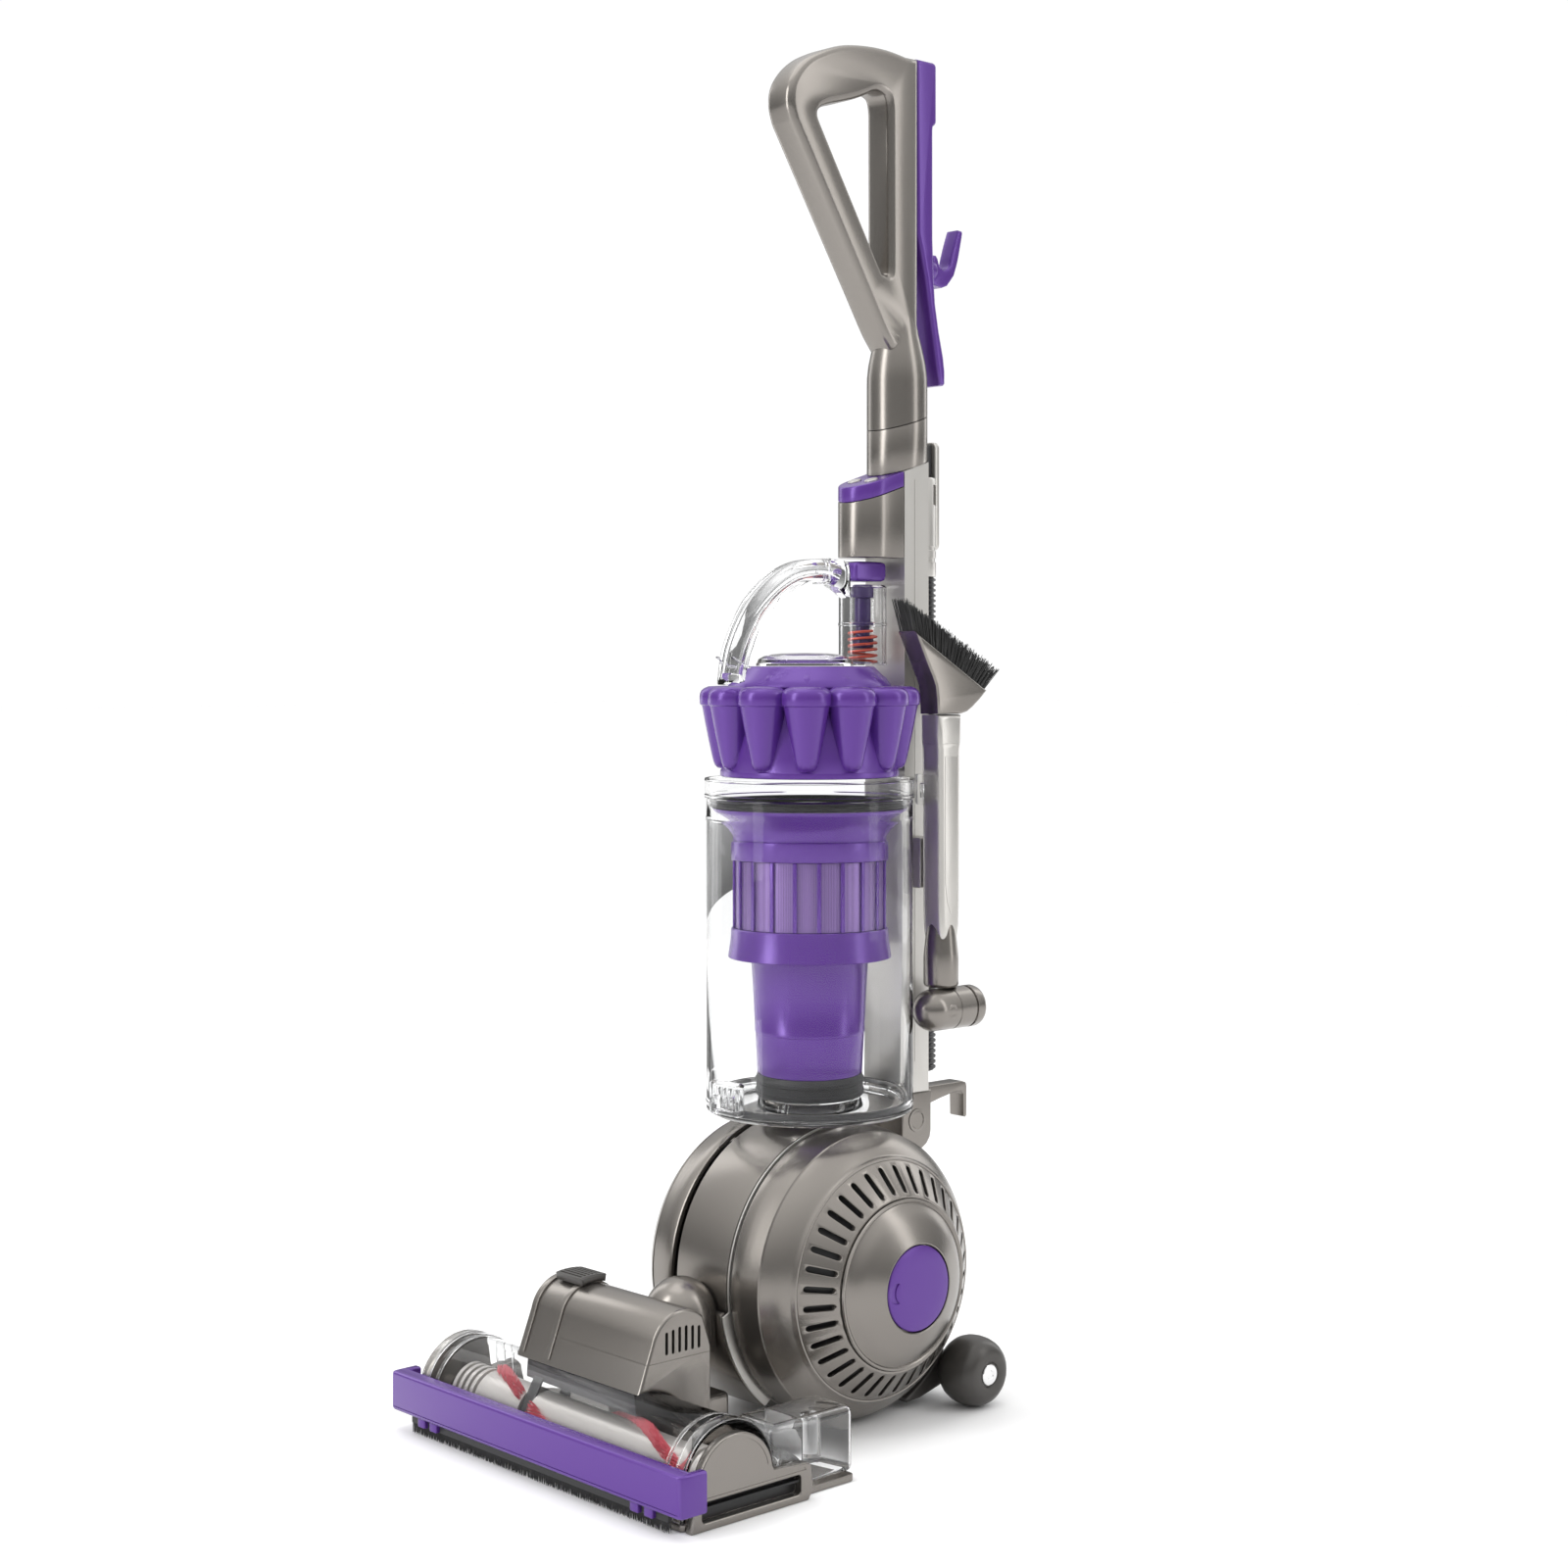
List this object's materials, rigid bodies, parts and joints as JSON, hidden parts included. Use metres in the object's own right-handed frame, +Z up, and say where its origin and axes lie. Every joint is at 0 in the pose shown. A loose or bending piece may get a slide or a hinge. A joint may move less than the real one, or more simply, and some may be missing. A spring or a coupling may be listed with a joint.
{
  "type": "upright vacuum cleaner",
  "caption": "Upright vacuum cleaner that rolls on a ball, with a swivelling floor head, clear cyclone bin, folding stand, telescopic wand with loop handle and a side brush tool.",
  "frame": {"origin": "on the floor under the middle of the object's box", "axes": "+Z up, the floor head faces -Y, the tool hangs on the +X side"},
  "size_m": [0.34, 0.445, 1.068],
  "materials": {
    "iron_grey": "satin metallic paint on plastic",
    "light_silver": "light satin metallic paint",
    "purple": "gloss moulding with a fine metallic flake",
    "clear": "polished clear polycarbonate",
    "wheel_grey": "satin dark moulding",
    "black_rubber": "matt",
    "black_plastic": "satin",
    "red_bristle": "grey core with red nylon bristle",
    "chrome": "polished",
    "steel": "turned"
  },
  "bodies": {
    "floor_head": {"soleplate": "iron_grey", "end_plate_left": "iron_grey", "end_plate_right": "iron_grey", "brush_cover": "clear", "bumper": "purple", "front_bristle_strip": "black_plastic", "brush_motor": "steel", "drive_belt": "black_rubber", "motor_housing": "iron_grey", "neck_socket": "iron_grey"},
    "brush": {"brush_bar": "red_bristle"},
    "pulley": {"motor_pulley": "black_plastic"},
    "head_latch": {"head_latch": "iron_grey"},
    "yoke": {"yoke_plate_left": "light_silver", "yoke_plate_right": "light_silver", "yoke_saddle": "iron_grey"},
    "stand": {"stand": "wheel_grey", "wheel_axle": "chrome"},
    "wheel_left": {"stand_wheel_left": "wheel_grey"},
    "wheel_right": {"stand_wheel_right": "wheel_grey"},
    "upright": {"motor_bucket": "iron_grey", "bucket_cover": "iron_grey", "main_motor": "black_plastic", "ball_bearing_left": "steel", "ball_bearing_right": "steel", "spine_channel": "light_silver", "spine_nose": "iron_grey", "control_collar": "purple", "valve_block": "iron_grey", "hose": "black_rubber", "hose_cuff": "light_silver"},
    "ball_left": {"ball_shell_left": "iron_grey", "dome_left": "iron_grey"},
    "ball_right": {"ball_shell_right": "iron_grey", "dome_right": "iron_grey"},
    "ball_button": {"ball_button": "purple"},
    "power_button": {"power_button": "iron_grey"},
    "brush_button": {"brush_button": "iron_grey"},
    "wand": {"wand_tube": "iron_grey", "inner_wand": "steel", "handle": "iron_grey", "handle_inlay": "purple"},
    "upper_hook": {"upper_cable_hook": "purple"},
    "wand_catch": {"wand_catch": "black_plastic"},
    "tool": {"tool_body": "light_silver", "tool_brush_holder": "iron_grey", "tool_bristles": "black_plastic"},
    "tool_elbow": {"tool_elbow": "iron_grey"},
    "bin": {"bin_tube": "clear", "bin_seal": "black_rubber", "shroud": "purple", "dust_cone": "purple", "cyclone_pack": "purple", "cyclone_top": "clear", "carry_handle": "clear", "release_rod": "purple"},
    "trigger": {"release_trigger": "purple"},
    "bin_base": {"bin_base": "clear"},
    "base_catch": {"base_catch": "clear"},
    "rim_clasp": {"rim_clasp": "clear"}
  },
  "joints": [
    {"name": "brush_spin", "type": "hinge", "parent": "floor_head", "child": "brush", "pos_m": [0, -0.1665, 0.0245], "axis": [1, 0, 0], "continuous": true},
    {"name": "pulley_spin", "type": "hinge", "parent": "floor_head", "child": "pulley", "pos_m": [0, -0.1345, 0.0925], "axis": [1, 0, 0], "continuous": true},
    {"name": "head_latch_slide", "type": "slide", "parent": "floor_head", "child": "head_latch", "axis": [0, 1, 0], "range_m": [0, 0.004], "stiffness_N_per_m": 300},
    {"name": "head_swivel", "type": "hinge", "parent": "floor_head", "child": "yoke", "pos_m": [0, -0.0795, 0.068], "axis": [0, 0, 1], "range_deg": [-22, 22]},
    {"name": "recline", "type": "hinge", "parent": "yoke", "child": "upright", "pos_m": [0, 0.0525, 0.1125], "axis": [-1, 0, 0], "range_deg": [0, 50]},
    {"name": "stand_fold", "type": "hinge", "parent": "yoke", "child": "stand", "pos_m": [0, 0.0525, 0.1125], "axis": [1, 0, 0], "range_deg": [0, 20]},
    {"name": "wheel_left_spin", "type": "hinge", "parent": "stand", "child": "wheel_left", "pos_m": [0, 0.1465, 0.027], "axis": [1, 0, 0], "continuous": true},
    {"name": "wheel_right_spin", "type": "hinge", "parent": "stand", "child": "wheel_right", "pos_m": [0, 0.1465, 0.027], "axis": [1, 0, 0], "continuous": true},
    {"name": "ball_left_roll", "type": "hinge", "parent": "upright", "child": "ball_left", "pos_m": [0, 0.0525, 0.1125], "axis": [1, 0, 0], "continuous": true},
    {"name": "ball_right_roll", "type": "hinge", "parent": "upright", "child": "ball_right", "pos_m": [0, 0.0525, 0.1125], "axis": [1, 0, 0], "continuous": true},
    {"name": "ball_button_turn", "type": "hinge", "parent": "ball_right", "child": "ball_button", "pos_m": [0, 0.0525, 0.1125], "axis": [1, 0, 0], "range_deg": [0, 90]},
    {"name": "power_press", "type": "slide", "parent": "upright", "child": "power_button", "axis": [0, 0.3048, -0.9524], "range_m": [0, 0.0015], "stiffness_N_per_m": 300},
    {"name": "brush_press", "type": "slide", "parent": "upright", "child": "brush_button", "axis": [0, 0.3048, -0.9524], "range_m": [0, 0.0015], "stiffness_N_per_m": 300},
    {"name": "wand_slide", "type": "slide", "parent": "upright", "child": "wand", "axis": [0, 0, 1], "range_m": [0, 0.3]},
    {"name": "cable_hook_turn", "type": "hinge", "parent": "wand", "child": "upper_hook", "pos_m": [0, 0.18, 0.8985], "axis": [0, 1, 0], "range_deg": [0, 180]},
    {"name": "wand_catch_press", "type": "slide", "parent": "upright", "child": "wand_catch", "axis": [0, -1, 0], "range_m": [0, 0.0012], "stiffness_N_per_m": 300},
    {"name": "tool_slide", "type": "slide", "parent": "upright", "child": "tool", "axis": [0, 0, 1], "range_m": [0, 0.08]},
    {"name": "tool_elbow_turn", "type": "hinge", "parent": "tool", "child": "tool_elbow", "pos_m": [0.056, 0.147, 0.306], "axis": [0, 1, 0], "range_deg": [-90, 90]},
    {"name": "bin_slide", "type": "slide", "parent": "upright", "child": "bin", "axis": [0, -1, 0], "range_m": [0, 0.3]},
    {"name": "trigger_pull", "type": "hinge", "parent": "bin", "child": "trigger", "pos_m": [0, 0.1225, 0.65], "axis": [1, 0, 0], "range_deg": [0, 4], "stiffness_Nm_per_rad": 0.5},
    {"name": "bin_base_open", "type": "hinge", "parent": "bin", "child": "bin_base", "pos_m": [0, 0.1303, 0.2345], "axis": [1, 0, 0], "range_deg": [0, 27.5]},
    {"name": "base_catch_press", "type": "slide", "parent": "bin", "child": "base_catch", "axis": [0, 0, -1], "range_m": [0, 0.003], "stiffness_N_per_m": 400},
    {"name": "rim_clasp_pull", "type": "slide", "parent": "bin", "child": "rim_clasp", "axis": [0.6428, 0.766, 0], "range_m": [0, 0.002], "stiffness_N_per_m": 300}
  ],
  "couplings": [
    {"joint": "pulley_spin", "follows": "brush_spin", "ratio": 1.771},
    {"joint": "stand_fold", "follows": "recline", "ratio": 0.4},
    {"joint": "bin_base_open", "follows": "bin_slide", "rad_per_m": 1.599}
  ]
}
